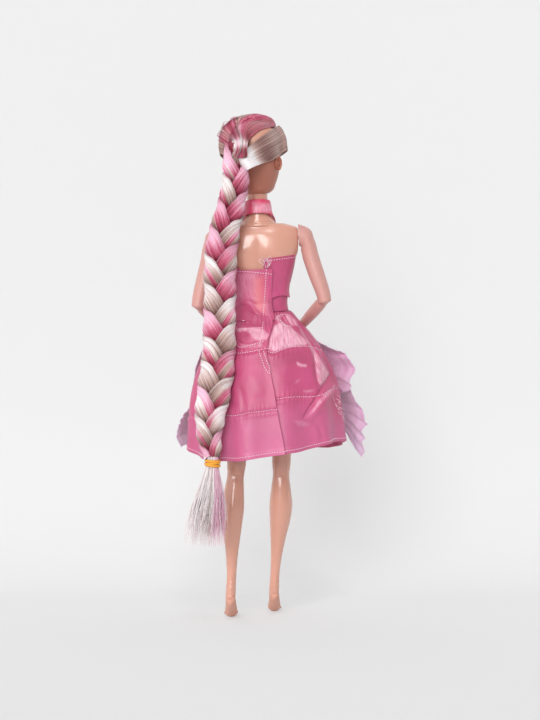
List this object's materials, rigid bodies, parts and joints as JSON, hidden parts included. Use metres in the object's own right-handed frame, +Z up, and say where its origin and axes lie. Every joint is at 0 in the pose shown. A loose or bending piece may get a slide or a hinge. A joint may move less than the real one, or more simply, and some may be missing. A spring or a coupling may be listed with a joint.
{
  "type": "fashion doll",
  "caption": "Jointed fashion doll standing on tiptoe in a short satin dress with sheer side petals, its long hair in one side braid.",
  "frame": {"origin": "on the floor, under the middle of the whole doll as it stands", "axes": "+Z up; the doll faces -Y; its own left side is +X"},
  "size_m": [0.111, 0.092, 0.2956],
  "materials": {
    "body_plastic": "glossy hard skin-coloured plastic",
    "arm_vinyl": "satin soft vinyl, slightly pinker than the body",
    "head_vinyl": "matte soft vinyl",
    "inner_plastic": "plain moulded plastic",
    "hair_pink": "glossy synthetic hair, pink",
    "hair_platinum": "glossy synthetic hair, platinum",
    "elastic_band": "yellow-orange elastic",
    "satin": "twill-backed satin with white stitching",
    "organza": "sheer organza with frayed edges",
    "ribbon": "hot-pink satin ribbon",
    "closure_tape": "hook and loop tape"
  },
  "bodies": {
    "torso": {"torso_front": "body_plastic", "torso_back": "body_plastic", "neck_post": "body_plastic", "bodice_front": "satin", "bodice_back_right": "satin", "bodice_back_left": "satin", "waistband": "satin", "closure_loop_strip": "closure_tape", "closure_hook_strip": "closure_tape", "neck_ribbon": "ribbon", "skirt_back_left": "satin", "skirt_back_right": "satin", "skirt_front_right": "satin", "skirt_front_left": "satin", "petal_right_upper": "organza", "petal_right_lower": "organza", "petal_left_upper": "organza", "petal_left_lower": "organza", "braid_strand_a": "hair_platinum", "braid_strand_b": "hair_pink", "braid_strand_c": "hair_platinum", "hair_elastic": "elastic_band", "hair_tassel": "hair_platinum"},
    "head": {"head": "head_vinyl", "hair_crown_pink": "hair_pink", "hair_sweep_platinum": "hair_platinum", "hair_side_platinum": "hair_platinum"},
    "arm_left": {"upper_arm_left": "arm_vinyl", "shoulder_peg_left": "inner_plastic", "elbow_pin_left": "arm_vinyl"},
    "forearm_left": {"forearm_left": "arm_vinyl"},
    "hip_left": {"hip_peg_left": "inner_plastic"},
    "leg_left": {"leg_left": "body_plastic"},
    "arm_right": {"upper_arm_right": "arm_vinyl", "shoulder_peg_right": "inner_plastic", "elbow_pin_right": "arm_vinyl"},
    "forearm_right": {"forearm_right": "arm_vinyl"},
    "hip_right": {"hip_peg_right": "inner_plastic"},
    "leg_right": {"leg_right": "body_plastic"}
  },
  "joints": [
    {"name": "head_turn", "type": "hinge", "parent": "torso", "child": "head", "pos_m": [0.00941, -0.00136, 0.24965], "axis": [0.0401, 0, 0.9992], "range_deg": [-55, 80], "deforming": ["braid_strand_a", "braid_strand_b", "braid_strand_c", "hair_elastic", "hair_tassel"]},
    {"name": "shoulder_left", "type": "hinge", "parent": "torso", "child": "arm_left", "pos_m": [0.0315, -0.00136, 0.22401], "axis": [-0.9992, 0, 0.0401], "range_deg": [-8, 120]},
    {"name": "elbow_left", "type": "hinge", "parent": "arm_left", "child": "forearm_left", "pos_m": [0.04336, 0.00364, 0.18531], "axis": [-0.7853, 0.5971, -0.1636], "range_deg": [-78, 12]},
    {"name": "hip_swing_left", "type": "hinge", "parent": "torso", "child": "hip_left", "pos_m": [0.01816, -0.00136, 0.15], "axis": [-1, 0, 0], "range_deg": [-18, 75], "deforming": ["skirt_back_left", "skirt_front_left", "petal_left_upper", "petal_left_lower"]},
    {"name": "hip_splay_left", "type": "hinge", "parent": "hip_left", "child": "leg_left", "pos_m": [0.01816, -0.00136, 0.15], "axis": [0, -1, 0], "range_deg": [-2, 15]},
    {"name": "shoulder_right", "type": "hinge", "parent": "torso", "child": "arm_right", "pos_m": [-0.01466, -0.00136, 0.22586], "axis": [-0.9992, 0, 0.0401], "range_deg": [-8, 120]},
    {"name": "elbow_right", "type": "hinge", "parent": "arm_right", "child": "forearm_right", "pos_m": [-0.02959, 0.00364, 0.18824], "axis": [-0.7697, -0.5971, 0.226], "range_deg": [-78, 12]},
    {"name": "hip_swing_right", "type": "hinge", "parent": "torso", "child": "hip_right", "pos_m": [-0.00734, -0.00136, 0.15], "axis": [-1, 0, 0], "range_deg": [-16, 65], "deforming": ["skirt_back_right", "skirt_front_right", "petal_right_upper", "petal_right_lower"]},
    {"name": "hip_splay_right", "type": "hinge", "parent": "hip_right", "child": "leg_right", "pos_m": [-0.00734, -0.00136, 0.15], "axis": [0, 1, 0], "range_deg": [0, 15]}
  ]
}
